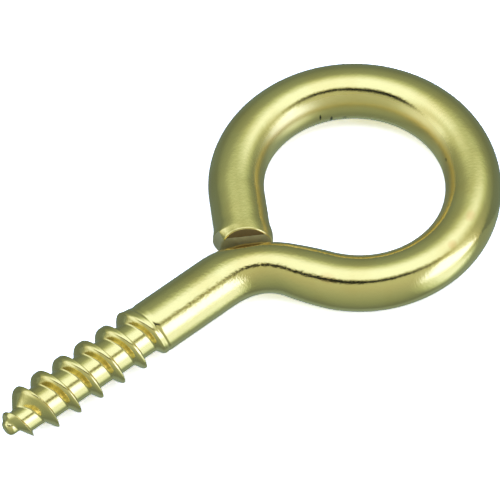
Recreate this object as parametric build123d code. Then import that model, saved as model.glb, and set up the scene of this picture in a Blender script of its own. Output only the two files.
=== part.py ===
from build123d import *

import os
from math import atan, cos, degrees, pi, radians, sin

# A screw eye: one bright wire, bent to a closed ring at one end and threaded like a wood screw at the
# other. Sizes are in millimetres and angles in degrees. The ring's middle is the origin, the ring
# lies in the XY plane and the shank runs along -X to the tip.
wire_d = 4.0                # the wire, which is also the plain shank's width
shank_length = 5.7          # plain round part, from the thread's shoulder to the neck

# The neck bends the wire off the shank's line, and is squeezed thinner there by the bending tool.
neck_bend_r = 5.77
neck_turn = 55.7
neck_straight = 2.66
neck_squeeze = 0.094        # share of the wire's width lost at the narrowest place
squeeze_centre = 3.72       # along the wire, from the neck's start
squeeze_half_width = 3.77

# The ring is bent in four runs, each a little tighter or wider than a true circle.
ring_r = (8.12, 8.40, 8.54, 7.85)
ring_turn = (85.0, 85.0, 85.0, 38.9)
ring_middle_x = 12.88       # along the shank's line, from the neck's start to the ring's middle

# The wire's end stands square against the neck, with the cutters' upper face leaning back from the cut.
tail_length = 4.30
bevel_height = 1.25         # where the upper cut face begins, above the wire's middle
bevel_lean = 14.0

# The thread is right hand and coarse, with narrow crests and a wide round root.
pitch = 1.90
thread_depth = 0.50
crest_r = 1.96              # at the shoulder
crest_r_taper = 1.82        # where the quick taper to the tip begins
crest_r_tip = 1.50          # where the tip's cone begins
taper_from = -15.3          # places along the shank are from the neck's start
thread_start = -17.2
root_r_tip = 1.27           # the round root, at the tip; at the shoulder it is crest_r - thread_depth
crest_flat = 0.24
root_flat = 0.96            # the round root's length along the shank
tip_groove_end = -16.04     # from here to the tip the groove sinks quickly
tip_groove_length = 1.90
tip_groove_taper = 0.42     # the root's fall for each millimetre along the shank
tip_groove_wider = 0.11     # on each side of the root
shoulder_step = 0.40        # length of the small step from the crest to the plain shank
groove_at = -6.78           # a place where the groove's middle crosses groove_phase
groove_phase = 209.0        # angle about the shank, from +Y towards +Z
run_out_from = 214.0        # the groove rises out of the shank past this angle
run_out_turn = 100.0
run_out_width = 1.5         # radius of the rising arc, in root radii

# The tip is a short cone with the stub that the cutters left.
cone_length = 0.55
stub_r = 0.53
stub_length = 0.85
stub_chamfer = 0.18
stub_off = 0.10             # the stub stands off the shank's line by this much
stub_off_angle = 209.0

wire_r = wire_d / 2
start_x = -ring_middle_x


class Pen:
    """Walks along the wire's middle line in the XY plane."""

    def __init__(self, x, y, angle):
        self.x = x
        self.y = y
        self.angle = angle

    def plane(self, x_dir=(0, 0, 1)):
        a = radians(self.angle)
        return Plane(origin=(self.x, self.y, 0), x_dir=x_dir, z_dir=(cos(a), sin(a), 0))

    def forward(self, length):
        a = radians(self.angle)
        self.x += length * cos(a)
        self.y += length * sin(a)

    def bend_centre(self, radius, turn):
        side = 1 if turn > 0 else -1
        a = radians(self.angle)
        return self.x - side * radius * sin(a), self.y + side * radius * cos(a)

    def bend(self, radius, turn):
        cx, cy = self.bend_centre(radius, turn)
        dx, dy = self.x - cx, self.y - cy
        t = radians(turn)
        self.x = cx + dx * cos(t) - dy * sin(t)
        self.y = cy + dx * sin(t) + dy * cos(t)
        self.angle += turn


def bent_wire(pen, radius, turn):
    """One bend of plain wire. The pen moves to its end."""
    cx, cy = pen.bend_centre(radius, turn)
    side = 1 if turn > 0 else -1
    face = pen.plane() * Circle(wire_r)
    piece = revolve(face, axis=Axis((cx, cy, 0), (0, 0, side)), revolution_arc=abs(turn))
    pen.bend(radius, turn)
    return piece


def squeezed(along):
    """The wire's half width in the ring's plane, at a distance along the neck."""
    t = min(abs(along - squeeze_centre) / squeeze_half_width, 1.0)
    return wire_r * (1 - neck_squeeze * cos(t * pi / 2) ** 2)


def neck(pen):
    """The neck's bend and the straight after it, as one loft."""
    bend_length = neck_bend_r * radians(neck_turn)
    whole = bend_length + neck_straight
    steps = 10
    sections = []
    for i in range(steps + 1):
        along = whole * i / steps
        here = Pen(pen.x, pen.y, pen.angle)
        if along < bend_length:
            here.bend(neck_bend_r, -neck_turn * along / bend_length)
        else:
            here.bend(neck_bend_r, -neck_turn)
            here.forward(along - bend_length)
        half = wire_r if i in (0, steps) else squeezed(along)
        sections.append(here.plane() * Ellipse(wire_r, half))
    pen.bend(neck_bend_r, -neck_turn)
    pen.forward(neck_straight)
    return loft(sections)


def tail(pen):
    """The straight end of the wire, with its upper edge cut back."""
    a = radians(pen.angle)
    across = (-sin(a), cos(a), 0)
    end = extrude(pen.plane() * Circle(wire_r), tail_length)
    pen.forward(tail_length)
    # a wedge above the bevel's edge, leaning back from the cut face
    b = radians(bevel_lean)
    edge = Vector(pen.x, pen.y, bevel_height)
    lean = Vector(cos(a) * cos(b), sin(a) * cos(b), sin(b))
    wedge = Plane(origin=edge, x_dir=across, z_dir=lean) * Box(
        3 * wire_d, 3 * wire_d, wire_d, align=(Align.CENTER, Align.CENTER, Align.MIN))
    return end - wedge


def crest_radius(x):
    """The crests' outside radius: nearly even, then rounding off towards the tip."""
    first = start_x + thread_start
    quick = start_x + taper_from
    last = start_x - shank_length - shoulder_step
    if x < quick:
        t = min((quick - x) / (quick - first), 1.0)
        return crest_r_taper - (crest_r_taper - crest_r_tip) * t * t
    return crest_r_taper + (crest_r - crest_r_taper) * min((x - quick) / (last - quick), 1.0)


def blank():
    """The shank before the thread is cut: cone, tapered crests, a small step and the plain wire."""
    shoulder = start_x - shank_length
    first = start_x + thread_start
    quick = start_x + taper_from
    half_way = (first + quick) / 2
    tip = first - cone_length
    cone = Polyline((tip, 0), (tip, stub_r), (first, crest_r_tip))
    rounding = ThreePointArc((first, crest_r_tip), (half_way, crest_radius(half_way)), (quick, crest_r_taper))
    rest = Polyline((quick, crest_r_taper), (shoulder - shoulder_step, crest_r), (shoulder, wire_r),
                    (start_x, wire_r), (start_x, 0), (tip, 0))
    outline = make_face(cone.edges() + rounding.edges() + rest.edges())
    return revolve(outline, axis=Axis.X)


def stub():
    """The blunt stub at the tip, a little off the shank's line."""
    end = start_x + thread_start - cone_length - stub_length
    inner = stub_length + 0.6 * cone_length
    off = radians(stub_off_angle)
    place = Plane(origin=(end, stub_off * cos(off), stub_off * sin(off)), z_dir=(1, 0, 0))
    body = place * Cylinder(stub_r, inner, align=(Align.CENTER, Align.CENTER, Align.MIN))
    rim = body.edges().sort_by(Axis.X)[0]
    return chamfer(rim, stub_chamfer)


def groove_side(wider=0.0):
    """Half of the groove's outline, along the shank and outwards, from the root past the crest."""
    mouth = (pitch - crest_flat) / 2
    past = 0.06
    slope = (mouth - root_flat / 2) / thread_depth
    return [
        (root_flat / 2 + wider, 0),
        (mouth + wider + past * slope, thread_depth + past),
        (mouth - thread_depth / 2, 2 * thread_depth),
    ]


def steep_side():
    """The ring's side of the tip groove, which only deepens the root that is there."""
    wall = root_flat / 2 + tip_groove_wider
    return [(wall, 0), (wall, 2 * thread_depth)]


def groove_face(place, towards_ring, towards_tip):
    """The groove's cross-section on a plane whose x is along the shank and whose y points outwards."""
    mirrored = [(-along, up) for along, up in reversed(towards_tip)]
    return place * make_face(Polyline(*towards_ring, *mirrored, close=True))


def helical_groove(last_x, length, last_r, taper, towards_ring, towards_tip):
    """A groove swept up to last_x along a helix whose root grows by taper for each millimetre."""
    first_x = last_x - length
    first_r = last_r - taper * length
    first_angle = radians(groove_phase + 360 * (first_x - start_x - groove_at) / pitch)
    out = Vector(0, cos(first_angle), sin(first_angle))
    axle = Plane(origin=(first_x, 0, 0), x_dir=out, z_dir=(1, 0, 0))
    # a helix on a cone is measured along the cone's side
    side = 1 / cos(atan(taper))
    helix = axle * Helix(pitch * side, length * side, first_r, cone_angle=degrees(atan(taper)))
    here = Plane(origin=Vector(first_x, 0, 0) + out * first_r, x_dir=(1, 0, 0), z_dir=Vector(1, 0, 0).cross(out))
    return sweep(groove_face(here, towards_ring, towards_tip), path=helix, is_frenet=True)


def groove():
    """The main groove, from before the tip to the run-out, with a slight taper."""
    last_x = start_x + groove_at + pitch * (run_out_from - groove_phase) / 360
    length = last_x - (start_x + thread_start - cone_length - 0.8 * pitch)
    last_r = crest_r - thread_depth
    side = groove_side()
    return helical_groove(last_x, length, last_r, (last_r - root_r_tip) / length, side, side)


def tip_groove():
    """The groove's first turn sinks into the tip."""
    last_x = start_x + tip_groove_end
    wide = groove_side(tip_groove_wider)
    return helical_groove(last_x, tip_groove_length, root_r_tip, tip_groove_taper, steep_side(), wide)


def run_out():
    """The groove's end: it leaves the helix on a wider arc, and so rises out of the shank."""
    a = radians(run_out_from)
    root = crest_r - thread_depth
    x = start_x + groove_at + pitch * (run_out_from - groove_phase) / 360
    lead = atan(pitch / (2 * pi * root))
    out = Vector(0, cos(a), sin(a))
    round_way = Vector(0, -sin(a), cos(a))
    spin = Vector(1, 0, 0) * cos(lead) - round_way * sin(lead)
    wide = run_out_width * root
    centre = Vector(x, 0, 0) + out * (root - wide)
    here = Plane(origin=centre + out * wide, x_dir=spin, z_dir=spin.cross(out))
    overlap = 12.0
    axis = Axis(centre, spin)
    face = groove_face(here, groove_side(), groove_side()).rotate(axis, -overlap)
    return revolve(face, axis=axis, revolution_arc=run_out_turn + overlap)


pen = Pen(start_x, 0, 0)
ring_neck = neck(pen)
ring = ring_neck
for radius, turn in zip(ring_r, ring_turn):
    ring += bent_wire(pen, radius, turn)
end = tail(pen)
gap = end.distance_to(ring_neck)
ring += end

shank = blank() - groove() - tip_groove() - run_out() + stub()
shape = shank + ring

os.makedirs("parts", exist_ok=True)
solids = shape.solids()
print("gap between the wire's end and the neck", round(gap, 3))
print("solids", len(solids), "volume", round(shape.volume, 2), "box", shape.bounding_box())
screw_eye = solids[0]
export_step(screw_eye, "parts/screw_eye.step")
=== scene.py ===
from math import cos, pi, radians, sin

import bpy
import numpy as np
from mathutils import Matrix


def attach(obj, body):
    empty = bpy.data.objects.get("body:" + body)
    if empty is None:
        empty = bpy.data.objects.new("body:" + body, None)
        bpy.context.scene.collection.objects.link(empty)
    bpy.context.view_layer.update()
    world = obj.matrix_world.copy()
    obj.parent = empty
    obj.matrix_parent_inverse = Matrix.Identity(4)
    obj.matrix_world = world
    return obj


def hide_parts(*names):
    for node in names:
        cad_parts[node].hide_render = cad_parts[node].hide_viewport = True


# A bright brass-plated screw eye. The visible piece is one wire, drawn as rings of points along its middle
# line. Sizes of the object are in millimetres and degrees, as in its solid, and go to metres at the end.
# Angles round the wire are seen along it from the tip: 0 is its left side and 90 is its top.

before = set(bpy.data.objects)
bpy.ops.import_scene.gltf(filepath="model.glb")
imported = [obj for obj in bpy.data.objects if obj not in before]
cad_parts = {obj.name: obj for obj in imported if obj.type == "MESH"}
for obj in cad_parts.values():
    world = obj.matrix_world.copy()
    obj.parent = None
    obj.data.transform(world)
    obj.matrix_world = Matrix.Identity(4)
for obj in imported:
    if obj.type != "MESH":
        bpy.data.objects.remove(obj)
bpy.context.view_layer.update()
MM = 0.001

# The photograph's camera, found from the object's own outline. The distance suits the wire's real width.
camera_place = (-0.10308, -0.12048, 0.23079)
camera_turn = (33.580, 0.893, -39.101)
camera_lens = 282.87
camera_clip = (0.01, 10.0)

# The wire and its bends.
wire_d = 4.0
shank_length = 5.7             # the plain part, from the neck's start to the shoulder
neck_bend_r = 5.77
neck_turn = 55.7
neck_straight = 2.66
neck_squeeze = 0.094           # the share that the neck is narrower by
squeeze_centre = 3.72
squeeze_half_width = 3.77
ring_r = (8.12, 8.40, 8.54, 7.85)
ring_turn = (85.0, 85.0, 85.0, 38.9)
ring_middle_x = 12.88          # from the neck's start to the ring's middle
tail_length = 4.30
bevel_height = 1.25            # over this height above the wire's middle the cut end slopes back
bevel_lean = 14.0

# The bend's inner side, a little flattened.
hollow_depth = 0.14
hollow_angle = 207.0
hollow_at = 4.8
hollow_length = 2.2

# The cut end, which the shears spread sideways, to the ring's outside and to its inside.
end_spread_outside = 0.17
end_spread_inside = 0.11
end_corner_outside = 0.28      # how far the cut takes the outer corner in
end_spread_at = 0.70           # the widest place, from the end
end_spread_length = 1.7
# the outer corner is bare where the angle's cosine is under this, and its sine is under the bevel's by this
corner_side = -0.7
corner_under_bevel = 0.06

# The thread, with places from the neck's start, which is 0, to the tip, which is the lowest.
pitch = 1.90
thread_depth = 0.50
thread_start = -17.2
crest_r = 1.96                 # at the shoulder
crest_r_taper = 1.92           # at taper_from, where the crests begin to fall towards the tip
taper_from = -15.6
taper_curve = 0.156            # their fall for each square millimetre
crest_flat = 0.24
crest_bulge = 0.10             # how much prouder the crests are at the bulge's angle and opposite it
crest_bulge_angle = 20.0
crest_lean = 0.08              # how far their side towards the tip leans that way, all round
crest_lean_more = 0.28         # and how much more at the bulge's angle
crest_lean_tip = 0.16          # and how much more near the tip
tip_lean_ramp = 1.0
crest_back = 0.20              # how much shorter the flank on their other side is
root_flat = 0.96
root_r_tip = 1.27
tip_groove_end = -16.04        # from here to the tip the groove sinks quickly
tip_groove_taper = 0.42
tip_groove_wider = 0.11
tip_groove_ramp = 0.5
groove_before_start = 0.8      # turns of groove before the thread's start
shoulder_step = 0.40
groove_at = -6.78              # where the groove's middle passes groove_phase for the last time
groove_phase = 209.0
run_out_from = 214.0
run_out_turn = 100.0
run_out_width = 1.5            # the run-out's own radius, in root radii

# The tip.
cone_length = 0.55
cone_from = -18.12             # from here to the tip the crests fall as a cone
cone_slope = 1.7
stub_r = 0.62
stub_length = 0.85
stub_off = 0.04
stub_off_angle = 209.0

# The burr on the thread's last crest, and the fine line behind it.
burr_height = 0.30
burr_angle = 27.0
burr_half_angle = 26.0
burr_length = 0.20
burr_line_depth = 0.03
burr_line_behind = 0.45
burr_line_width = 0.10
burr_lip_from = -8.2           # from here to the ring the lip's edge is sharp
burr_lip_ramp = 0.5

# Softened corners, and how finely the piece is drawn.
crest_round = 0.20
crest_edge_round = 0.08
foot_round = 0.08
stub_round = 0.42
stub_foot_round = 0.08
rim_round = 0.10
points_around = 120
seam_angle = -90.0
thread_spacing = 0.032
wire_spacing = 0.25
shank_finely_drawn = 1.0       # this much of the plain shank has the thread's spacing
end_drawn_length = 1.5
end_rows = 24
rim_rows = 6
face_rows = 10
uv_length = 100.0              # millimetres of wire for one unit of the UV map

# The brass plating. Depths of its fine marks are in millimetres, scales are for each metre.
plating_colour = (0.95, 0.75, 0.31, 1.0)
tarnish_colour = (0.90, 0.66, 0.24, 1.0)
stain_colour = (0.80, 0.38, 0.12, 1.0)
nick_colour = (0.05, 0.04, 0.02, 1.0)
tarnish_range = (0.45, 0.80)
plating_roughness = (0.08, 0.17)
cloud_scale = 260.0
cloud_detail = 4.0
cloud_strength = 0.5
cloud_depth = 0.08
spot_scale = 900.0
spot_detail = 2.0
# the drawing marks: how often they change along and round the wire, in each unit of the UV map
drawing_scale = (550.0, 420.0, 1.0)
drawing_detail = 3.0
drawing_strength = 0.28
drawing_depth = 0.02
# they are deeper about the neck, between these distances along the wire
rough_from = -3.0
rough_to = 6.0
rough_before = 3.0
rough_after = 4.0
rough_more = 1.6
# the ring's inner side is duller: its angles, the softness of their edge and how much rougher it is
dull_angles = (-5.0, 42.0)
dull_soft = 16.0
dull_more = 0.20
dull_after = 9.0

# Small marks, each as its distance along the wire, its angle round it, half its length along and across
# the wire, and how strong it is. A mark fades out between the two values of mark_edge.
dark_nicks = (
    (39.9, 4.0, 0.10, 0.30, 1.0),
    (38.8, -12.0, 0.15, 0.36, 1.0),
    (37.5, -14.0, 0.25, 0.14, 0.7),
    (25.5, 30.0, 0.22, 0.10, 0.5),
)
orange_stains = (
    (19.7, 105.0, 0.45, 0.35, 0.35),
    (17.2, 112.0, 0.35, 0.30, 0.35),
    (8.5, 120.0, 0.60, 0.40, 0.25),
)
mark_edge = (0.6, 1.9)

# The cut end's bare metal, with painted shade on its bevel, which stands for a dark reflection there, and
# painted shade at its outer corner.
cut_light = (0.76, 0.69, 0.42, 1.0)
cut_dark = (0.50, 0.44, 0.26, 1.0)
# painted shade for the outer corner, which faces the bright part of the room
cut_corner_shade = (0.30, 0.26, 0.13, 1.0)
# painted shade: the bevel's dark brown stands for the dark reflection on it
bevel_shade_colour = (0.20, 0.13, 0.05, 1.0)
# the corner's painted shade: its angles round the wire, the softness of its edge and how much of it is mixed
# in
corner_shade_angles = (140.0, 220.0)
corner_shade_soft = 20.0
corner_shade_share = 0.5
cut_roughness = 0.5
cut_metallic = 0.3
grain_scale = 2500.0
grain_detail = 3.0
grain_strength = 0.5
grain_depth = 0.03

# The room's light, as brightness. Heights and sides are angles in degrees about the camera: 0 is towards
# it, heights go up over it and sides go to its right. It falls evenly between room_heights, up or down.
room_front = 0.60
room_back = 0.20
room_heights = (5.0, 120.0)

# The room's colours, by height away from 0, and those of its bright parts, by brightness.
front_tint = (0.86, 1.02, 0.84, 1.0)
middle_tint = (0.82, 1.09, 0.90, 1.0)
back_tint = (0.79, 1.12, 1.14, 1.0)
bright_tint = (0.86, 1.09, 1.38, 1.0)
glare_tint = (0.88, 1.10, 1.80, 1.0)
middle_heights = (30.0, 85.0)
back_heights = (90.0, 145.0)
bright_from = (0.6, 1.2)
glare_from = (1.25, 1.6)

# Each box: softness below, lowest, highest, softness above; leftmost, rightmost, softness; brightness. The
# last two are the gap that draws the dark line along the wire.
boxes = (
    (20.0, -170.0, -135.0, 15.0, -90.0, 90.0, 10.0, 0.31),
    (35.0, -105.0, 5.0, 40.0, 56.0, 64.0, 26.0, 1.15),
    (35.0, -25.0, 35.0, 35.0, -66.0, -58.0, 26.0, 1.10),
    (8.0, 18.0, 42.0, 40.0, -20.0, 22.0, 38.0, 1.22),
    (40.0, -24.0, 4.0, 12.0, 47.0, 75.0, 12.0, 1.75),
    (4.0, 1.0, 7.0, 5.0, -30.0, 16.0, 34.0, 0.0),
    (5.0, -1.0, 8.0, 5.0, -30.0, -6.0, 12.0, 0.0),
)
# how much higher the boxes that lie wholly over the camera hang for each degree to its right
edge_rise = 0.35

# The floor, in metres: what the camera sees of it, and the grey that it throws back on the object.
floor_half = 3.0
floor_colour = (3.4, 3.1, 3.6, 1.0)
floor_bounce = 0.5

wire_r = wire_d / 2
flank = (pitch - crest_flat - root_flat) / 2
tip_x = thread_start - cone_length - stub_length
degrees_per_mm = 180 / (pi * wire_r)


def soft_min(a, b, width):
    """The lesser of two values, with the corner between them rounded over about that width."""
    h = np.clip(0.5 + 0.5 * (b - a) / width, 0, 1)
    return b + (a - b) * h - width * h * (1 - h)


def soft_max(a, b, width):
    """The greater of two values, rounded in the same way."""
    return -soft_min(-a, -b, width)


def smooth(t):
    """A smooth rise from 0 to 1."""
    return t * t * (3 - 2 * t)


def crest_radius(x, angle):
    """The crests' outside radius along the shank, from the tip to the plain wire."""
    last = -shank_length - shoulder_step
    rounded = crest_r_taper - taper_curve * (taper_from - np.maximum(x, cone_from)) ** 2
    cone = rounded - cone_slope * np.maximum(cone_from - x, 0)
    share = np.clip((x - taper_from) / (last - taper_from), 0, 1)
    even = crest_r_taper + (crest_r - crest_r_taper) * share
    step = crest_r + (wire_r - crest_r) * smooth(np.clip((x - last) / shoulder_step, 0, 1))
    radius = np.select([x < taper_from, x > last], [cone, step], even)
    lean = np.radians(angle - crest_bulge_angle)
    before_shoulder = np.clip((last - x) / shoulder_step, 0, 1)
    after_cone = np.clip((x - cone_from) / shoulder_step, 0, 1)
    return radius + crest_bulge * np.cos(lean) ** 2 * before_shoulder * after_cone


def burr_share(angle):
    """How much of the burr there is at an angle, from 0 to 1."""
    return np.exp(-((angle - burr_angle) / burr_half_angle) ** 2)


def burr(x, angle):
    """The ragged lip that stands up where the last crest meets the plain wire."""
    wall = groove_at + pitch * (angle - groove_phase) / 360 + root_flat / 2 - crest_lean + flank
    line = burr_line_depth * np.exp(-((x - wall - burr_line_behind) / burr_line_width) ** 2)
    near = np.exp(-np.abs(x - wall + crest_lean_more) / burr_length)
    return burr_height * burr_share(angle) * near - line


def root_radius(x, turned):
    """The groove's bottom, at a place along the shank where its turns have run through an angle."""
    root = crest_r - thread_depth
    begin = thread_start - cone_length - groove_before_start * pitch
    stop = groove_at + pitch * (run_out_from - groove_phase) / 360
    main = root_r_tip + (root - root_r_tip) * (x - begin) / (stop - begin)
    sinking = root_r_tip + tip_groove_taper * (x - tip_groove_end)
    lower = np.where(x < tip_groove_end, np.minimum(main, sinking), main)
    wide = run_out_width * root
    off = wide - root
    past = np.radians(np.clip(turned - run_out_from, 0, run_out_turn))
    rising = np.sqrt(wide**2 - (off * np.sin(past)) ** 2) - off * np.cos(past)
    ended = turned > run_out_from + run_out_turn
    outside_wire = 2 * wire_d
    return np.select([ended, turned > run_out_from], [outside_wire, rising], lower)


def stub_radius(x, angle):
    """The blunt stub at the tip, which stands a little off the shank's line."""
    lean = np.radians(angle - stub_off_angle)
    side = stub_off * np.cos(lean) + np.sqrt(stub_r**2 - (stub_off * np.sin(lean)) ** 2)
    t = np.clip((tip_x + stub_round - x) / stub_round, 0, 1)
    return side - stub_round * (1 - np.sqrt(1 - t**2))


def thread_radius(x, angle):
    """The threaded end's radius at a place along the shank and an angle about it."""
    middle = groove_at + pitch * (angle - groove_phase) / 360
    nearest = np.floor((x - middle) / pitch)
    bulge_side = np.maximum(np.cos(np.radians(angle - crest_bulge_angle)), 0)
    lean = crest_lean + crest_lean_more * bulge_side
    lip = burr_share(angle) * np.clip((x - burr_lip_from) / burr_lip_ramp, 0, 1)
    rounding = crest_round - (crest_round - crest_edge_round) * lip
    body = crest_radius(x, angle) + burr(x, angle)
    for turn in (nearest - 1, nearest, nearest + 1, nearest + 2):
        place = middle + turn * pitch
        ahead = x > place
        wider = tip_groove_wider * np.clip((tip_groove_end - place) / tip_groove_ramp, 0, 1)
        tip_lean = crest_lean_tip * np.clip((tip_groove_end - place) / tip_lean_ramp, 0, 1)
        half = root_flat / 2 + np.where(ahead, -lean - tip_lean, wider + crest_back)
        out = (np.abs(x - place) - half) * thread_depth / np.where(ahead, flank, flank - crest_back)
        groove = root_radius(place, angle + 360 * turn) + soft_max(0 * out, out, foot_round)
        body = soft_min(body, groove, np.where(ahead, rounding, crest_edge_round))
    return soft_max(body, stub_radius(x, angle), stub_foot_round)


def wire_runs():
    """The wire's bends and straights after the shank, as lengths and curvatures."""
    runs = [(neck_bend_r * radians(neck_turn), -1 / neck_bend_r), (neck_straight, 0.0)]
    runs += [(r * radians(turn), 1 / r) for r, turn in zip(ring_r, ring_turn)]
    return [*runs, (tail_length, 0.0)]


wire_length = sum(length for length, curve in wire_runs())


def middle_line(along):
    """Places and headings on the wire's middle line, at distances from the neck's start."""
    x, y, heading, start = -ring_middle_x, 0.0, 0.0, 0.0
    place_x, place_y, way = x + along, 0 * along, 0 * along
    for length, curve in wire_runs():
        s = along - start
        if curve:
            centre_x = x - sin(heading) / curve
            centre_y = y + cos(heading) / curve
            next_way = heading + curve * s
            next_x = centre_x + np.sin(next_way) / curve
            next_y = centre_y - np.cos(next_way) / curve
            heading += curve * length
            x = centre_x + sin(heading) / curve
            y = centre_y - cos(heading) / curve
        else:
            next_way = heading + 0 * s
            next_x = x + s * cos(heading)
            next_y = y + s * sin(heading)
            x += length * cos(heading)
            y += length * sin(heading)
        place_x = np.where(s > 0, next_x, place_x)
        place_y = np.where(s > 0, next_y, place_y)
        way = np.where(s > 0, next_way, way)
        start += length
    return place_x, place_y, way


def end_spread(along, angle):
    """How far the cut end's sides stand out of the round wire."""
    back = np.maximum(wire_length - along, 0)
    rise = smooth(np.clip((end_spread_length - back) / (end_spread_length - end_spread_at), 0, 1))
    near = np.clip((end_spread_at - back) / end_spread_at, 0, 1)
    sides = np.cos(np.radians(angle))
    outside = end_spread_outside * rise - (end_spread_outside + end_corner_outside) * near
    inside = end_spread_inside * rise - end_spread_inside * near**2
    return np.where(sides < 0, outside, inside) * sides**2


def wire_points(along, angle, inset=0.0):
    """Points of the surface, or of the cut end's face where inset takes them inwards."""
    place_x, place_y, way = middle_line(along)
    plain = wire_r + end_spread(along, angle)
    r = np.where(along < 0, thread_radius(np.minimum(along, 0), angle), plain)
    r = r * (1 - inset / wire_r)
    t = np.clip(np.abs(along - squeeze_centre) / squeeze_half_width, 0, 1)
    narrow = 1 - neck_squeeze * np.cos(t * pi / 2) ** 2
    hollow = np.clip(np.cos(np.radians(angle - hollow_angle)), 0, 1) ** 2
    r = r - hollow_depth * hollow * np.exp(-((along - hollow_at) / hollow_length) ** 2)
    a = np.radians(angle)
    across = r * np.cos(a) * narrow
    x = place_x - np.sin(way) * across
    y = place_y + np.cos(way) * across
    return np.stack([x, y, r * np.sin(a)], axis=-1)


def cut_face(up):
    """How far along the wire the cut end's face lies, at a height above the wire's middle."""
    return wire_length - np.maximum(up - bevel_height, 0) * np.tan(radians(bevel_lean))


def wire_grid():
    """Rows of points along the wire and round it, with their distances and angles."""
    angles = np.linspace(seam_angle, seam_angle + 360, points_around + 1)
    thread_stop = -shank_length + shank_finely_drawn
    end_from = wire_length - end_drawn_length
    thread_rows = np.arange(tip_x, thread_stop, thread_spacing)
    plain_rows = np.arange(thread_stop, end_from, wire_spacing)
    body, body_angle = np.meshgrid(np.concatenate([thread_rows, plain_rows]), angles, indexing="ij")
    parts, alongs = [wire_points(body, body_angle)], [body]
    up = wire_r * np.sin(np.radians(angles))

    def add_row(along, inset=0.0):
        parts.append(wire_points(along, angles, inset)[None])
        alongs.append(along[None])

    for i in range(end_rows):
        add_row(end_from + (cut_face(up) - rim_round - end_from) * i / end_rows)
    for i in range(rim_rows + 1):
        a = pi / 2 * i / rim_rows
        inset = rim_round * (1 - cos(a))
        add_row(cut_face(up * (1 - inset / wire_r)) - rim_round * (1 - sin(a)), inset)
    for i in range(1, face_rows):
        inset = rim_round + (wire_r - rim_round) * i / face_rows
        add_row(cut_face(up * (1 - inset / wire_r)), inset)
    along = np.concatenate(alongs)
    return np.concatenate(parts), along, np.broadcast_to(angles, along.shape)


def quads(grid):
    """The four corners of each face of a grid."""
    return np.stack([grid[:-1, :-1], grid[:-1, 1:], grid[1:, 1:], grid[1:, :-1]], axis=2)


def wire_faces(rows, columns):
    """The faces between the rows, then the tip's fan and the cut end's, whose middles are the last points."""
    index = np.arange(rows * columns).reshape(rows, columns)
    index = np.concatenate([index, index[:, :1]], axis=1)
    tip, centre = rows * columns, rows * columns + 1
    tips = np.stack([index[0, 1:], index[0, :-1], np.full(columns, tip)], axis=-1)
    ends = np.stack([index[-1, :-1], index[-1, 1:], np.full(columns, centre)], axis=-1)
    return [*quads(index).reshape(-1, 4).tolist(), *tips.tolist(), *ends.tolist()]


def wire_uv(along, angle):
    """A place in the UV map for each face's corners: its distance along the wire and round it."""
    flat = np.stack([along, np.radians(angle) * wire_r], axis=-1) / uv_length
    tips = np.stack([flat[0, 1:], flat[0, :-1], flat[0, :-1]], axis=1)
    ends = np.stack([flat[-1, :-1], flat[-1, 1:], flat[-1, 1:]], axis=1)
    return np.concatenate([part.reshape(-1, 2) for part in (quads(flat), tips, ends)]).ravel()


def bare_faces(count, along, angle):
    """1 for each face of the cut end and its outer corner, and 0 for the plated ones."""
    rows, columns = along.shape[0], along.shape[1] - 1
    bare = np.zeros(count, dtype=int)
    bare[(rows - face_rows - 1) * columns:(rows - 1) * columns] = 1
    bare[-columns:] = 1
    turn = np.radians(angle[1:, 1:])
    corner = (np.cos(turn) < corner_side) & (np.sin(turn) < bevel_height / wire_r - corner_under_bevel)
    corner &= wire_length - along[1:, 1:] < end_spread_at
    bare[:(rows - 1) * columns][corner.ravel()] = 1
    return bare


def wire_mesh():
    """The whole wire as one closed mesh."""
    points, along, angle = wire_grid()
    rows, columns = points.shape[0], points.shape[1] - 1
    tip, centre = points[0, :-1].mean(axis=0), points[-1, :-1].mean(axis=0)
    vertices = np.concatenate([points[:, :-1].reshape(-1, 3), [tip, centre]]) * MM
    mesh = bpy.data.meshes.new("wire")
    mesh.from_pydata(vertices.tolist(), [], wire_faces(rows, columns))
    mesh.uv_layers.new(name="wire").data.foreach_set("uv", wire_uv(along, angle))
    mesh.polygons.foreach_set("use_smooth", [True] * len(mesh.polygons))
    mesh.polygons.foreach_set("material_index", bare_faces(len(mesh.polygons), along, angle))
    mesh.update()
    return mesh


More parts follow.
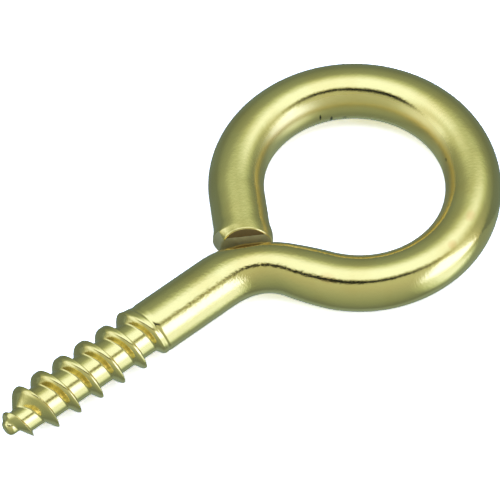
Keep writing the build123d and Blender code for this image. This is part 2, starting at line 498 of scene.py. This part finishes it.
class Nodes:
    """A short way to write a material's or the world's nodes."""

    def __init__(self, tree):
        self.tree = tree

    def add(self, kind, inputs=None, **settings):
        node = self.tree.nodes.new(kind)
        for name, value in settings.items():
            setattr(node, name, value)
        for name, value in (inputs or {}).items():
            self.set(node.inputs[name], value)
        return node

    def set(self, socket, value):
        if isinstance(value, bpy.types.NodeSocket):
            self.tree.links.new(value, socket)
        else:
            socket.default_value = value

    def math(self, operation, a, b=0.0):
        node = self.add("ShaderNodeMath", operation=operation)
        self.set(node.inputs[0], a)
        self.set(node.inputs[1], b)
        return node.outputs[0]

    def dot(self, vector, axis):
        node = self.add("ShaderNodeVectorMath", operation="DOT_PRODUCT")
        self.set(node.inputs[0], vector)
        node.inputs[1].default_value = axis
        return node.outputs["Value"]

    def ramp(self, value, low, high, at_low=0.0, at_high=1.0, **settings):
        """at_low where the value is low or less, at_high where it is high or more, even between them."""
        inputs = {"Value": value, "From Min": low, "From Max": high, "To Min": at_low, "To Max": at_high}
        return self.add("ShaderNodeMapRange", inputs, **settings).outputs[0]

    def band(self, value, low, high, below, above):
        """1 between low and high, falling to 0 over the widths below and above them."""
        rise = self.ramp(value, low - below, low, interpolation_type="SMOOTHSTEP")
        fall = self.ramp(value, high, high + above, 1.0, 0.0, interpolation_type="SMOOTHSTEP")
        return self.math("MULTIPLY", rise, fall)

    def mix(self, factor, a, b):
        """The colour a where the factor is 0 and b where it is 1."""
        node = self.add("ShaderNodeMix", data_type="RGBA")
        self.set(node.inputs["Factor"], factor)
        self.set(node.inputs["A"], a)
        self.set(node.inputs["B"], b)
        return node.outputs["Result"]

    def noise(self, vector, scale, detail):
        inputs = {"Vector": vector, "Scale": scale, "Detail": detail}
        return self.add("ShaderNodeTexNoise", inputs).outputs["Fac"]

    def bump(self, height, strength, depth, **normal):
        inputs = {"Height": height, "Strength": strength, "Distance": depth * MM, **normal}
        return self.add("ShaderNodeBump", inputs).outputs[0]

    def surface(self, kind, inputs):
        shader = self.add(kind, inputs)
        self.add("ShaderNodeOutputMaterial", {"Surface": shader.outputs[0]})

    def on_wire(self):
        """The UV map, the distances in it along the wire and round it, and the angle round it."""
        uv = self.add("ShaderNodeUVMap", uv_map="wire").outputs[0]
        parts = self.add("ShaderNodeSeparateXYZ", {"Vector": uv})
        along = self.math("MULTIPLY", parts.outputs["X"], uv_length)
        around = self.math("MULTIPLY", parts.outputs["Y"], uv_length)
        return uv, along, around, self.math("MULTIPLY", around, degrees_per_mm)


def grey(value):
    return (value, value, value, 1.0)


def new_material(name):
    material = bpy.data.materials.new(name)
    material.use_nodes = True
    material.node_tree.nodes.clear()
    return material, Nodes(material.node_tree)


def marks(n, along, around, ragged, places):
    """Small ragged spots on the wire, as a strength from 0 to 1."""
    total = 0.0
    for at, angle, half_along, half_across, strength in places:
        across = n.math("DIVIDE", n.math("SUBTRACT", around, radians(angle) * wire_r), half_across)
        distance = n.math("DIVIDE", n.math("SUBTRACT", along, at), half_along)
        square = n.math("ADD", n.math("MULTIPLY", across, across), n.math("MULTIPLY", distance, distance))
        spot = n.ramp(n.math("ADD", square, ragged), *mark_edge, strength, 0.0)
        total = n.math("MAXIMUM", total, spot)
    return total


def brass():
    """Bright greenish brass plating with fine drawing marks and a little tarnish."""
    material, n = new_material("brass_plating")
    place = n.add("ShaderNodeTexCoord").outputs["Object"]
    uv, along, around, degrees = n.on_wire()
    stretched = n.add("ShaderNodeMapping", {"Vector": uv, "Scale": drawing_scale}).outputs[0]
    drawing = n.noise(stretched, 1.0, drawing_detail)
    clouds = n.noise(place, cloud_scale, cloud_detail)
    spots = n.noise(place, spot_scale, spot_detail)

    colour = n.mix(n.ramp(clouds, *tarnish_range), plating_colour, tarnish_colour)
    colour = n.mix(marks(n, along, around, spots, orange_stains), colour, stain_colour)
    colour = n.mix(marks(n, along, around, spots, dark_nicks), colour, nick_colour)

    dull = n.math("MULTIPLY", n.band(degrees, *dull_angles, dull_soft, dull_soft), dull_more)
    dull = n.math("MULTIPLY", dull, n.math("GREATER_THAN", along, dull_after))
    roughness = n.math("ADD", n.ramp(spots, 0.0, 1.0, *plating_roughness), dull)

    neck = n.band(along, rough_from, rough_to, rough_before, rough_after)
    rough = n.math("ADD", 1.0, n.math("MULTIPLY", neck, rough_more))
    lines = n.bump(n.math("MULTIPLY", drawing, rough), drawing_strength, drawing_depth)
    normal = n.bump(clouds, cloud_strength, cloud_depth, Normal=lines)
    n.surface("ShaderNodeBsdfPrincipled", {"Base Color": colour, "Roughness": roughness, "Metallic": 1.0,
                                           "Normal": normal})
    return material


def cut_metal():
    """The cut end's bare, brownish metal, with painted shade on its bevel and at its outer corner."""
    material, n = new_material("cut_end")
    place = n.add("ShaderNodeTexCoord").outputs["Object"]
    degrees = n.on_wire()[-1]
    grain = n.noise(place, grain_scale, grain_detail)
    height = n.add("ShaderNodeSeparateXYZ", {"Vector": place}).outputs["Z"]
    # painted shade darkens the outer corner, where the cut faces the bright part of the room
    corner_shade = n.math("MULTIPLY", n.band(degrees, *corner_shade_angles, corner_shade_soft, corner_shade_soft), corner_shade_share)
    sheared_with_shade = n.mix(corner_shade, n.mix(grain, cut_light, cut_dark), cut_corner_shade)
    # painted shade: the cut above the bevel's height is coloured dark brown, standing for a dark reflection
    colour = n.mix(n.math("GREATER_THAN", height, bevel_height * MM), sheared_with_shade, bevel_shade_colour)
    n.surface("ShaderNodeBsdfPrincipled", {"Base Color": colour, "Roughness": cut_roughness,
                                           "Metallic": cut_metallic,
                                           "Normal": n.bump(grain, grain_strength, grain_depth)})
    return material


def screw_eye_piece():
    mesh = wire_mesh()
    piece = bpy.data.objects.new("screw_eye_wire", mesh)
    bpy.context.scene.collection.objects.link(piece)
    mesh.materials.append(brass())
    mesh.materials.append(cut_metal())
    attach(piece, "root")
    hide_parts("screw_eye")


def camera():
    data = bpy.data.cameras.new("camera")
    data.lens = camera_lens
    data.clip_start, data.clip_end = camera_clip
    placed = bpy.data.objects.new("camera", data)
    placed.location = camera_place
    placed.rotation_euler = [radians(a) for a in camera_turn]
    bpy.context.scene.collection.objects.link(placed)
    bpy.context.scene.camera = placed
    return placed


def floor():
    """A pale floor that is white where nothing shades it. Reflections see the studio instead of it."""
    mesh = bpy.data.meshes.new("floor")
    far, low = floor_half, -wire_r * MM
    corners = [(-far, -far, low), (far, -far, low), (far, far, low), (-far, far, low)]
    mesh.from_pydata(corners, [], [(0, 1, 2, 3)])
    placed = bpy.data.objects.new("floor", mesh)
    bpy.context.scene.collection.objects.link(placed)
    placed.visible_glossy = False
    material, n = new_material("floor_paper")
    seen = n.add("ShaderNodeLightPath").outputs["Is Camera Ray"]
    n.surface("ShaderNodeBsdfDiffuse", {"Color": n.mix(seen, grey(floor_bounce), floor_colour)})
    mesh.materials.append(material)


def studio_light(n, height, side, away):
    """The room's brightness in each direction, with the boxes and the gap laid over its even fall."""
    light = n.ramp(away, *room_heights, room_front, room_back)
    rise = n.math("MULTIPLY", edge_rise, n.math("MAXIMUM", side, 0.0))
    lowered = n.math("SUBTRACT", height, rise)
    for below, low, high, above, leftmost, rightmost, soft, value in boxes:
        across = n.band(side, leftmost, rightmost, soft, soft)
        level = lowered if low > 0 else height
        shape = n.math("MULTIPLY", n.band(level, low, high, below, above), across)
        kept = n.math("MULTIPLY", light, n.math("SUBTRACT", 1.0, shape))
        light = n.math("ADD", kept, n.math("MULTIPLY", shape, value))
    return light


def studio(placed_camera):
    """Soft boxes round a camera that looks in through a gap, as bands of a sky that only reflections see."""
    world = bpy.data.worlds.new("studio")
    bpy.context.scene.world = world
    world.use_nodes = True
    world.node_tree.nodes.clear()
    n = Nodes(world.node_tree)
    turn = placed_camera.rotation_euler.to_matrix()
    way = n.add("ShaderNodeTexCoord").outputs["Generated"]
    right, up, back = (n.dot(way, turn.col[i]) for i in range(3))
    height = n.math("DEGREES", n.math("ARCTAN2", up, back))
    side = n.math("DEGREES", n.math("ARCSINE", right))
    away = n.math("ABSOLUTE", height)
    light = studio_light(n, height, side, away)

    dim = n.mix(n.ramp(away, *middle_heights), front_tint, middle_tint)
    dim = n.mix(n.ramp(away, *back_heights), dim, back_tint)
    bright = n.mix(n.ramp(light, *glare_from), bright_tint, glare_tint)
    tint = n.mix(n.ramp(light, *bright_from), dim, bright)
    room = n.add("ShaderNodeBackground", {"Color": tint, "Strength": light})
    white = n.add("ShaderNodeBackground", {"Color": grey(1.0), "Strength": 1.0})
    seen = n.add("ShaderNodeLightPath").outputs["Is Camera Ray"]
    both = n.add("ShaderNodeMixShader", {"Fac": seen})
    n.set(both.inputs[1], room.outputs[0])
    n.set(both.inputs[2], white.outputs[0])
    n.add("ShaderNodeOutputWorld", {"Surface": both.outputs[0]})


screw_eye_piece()
floor()
studio(camera())
bpy.context.scene.view_settings.view_transform = "Standard"
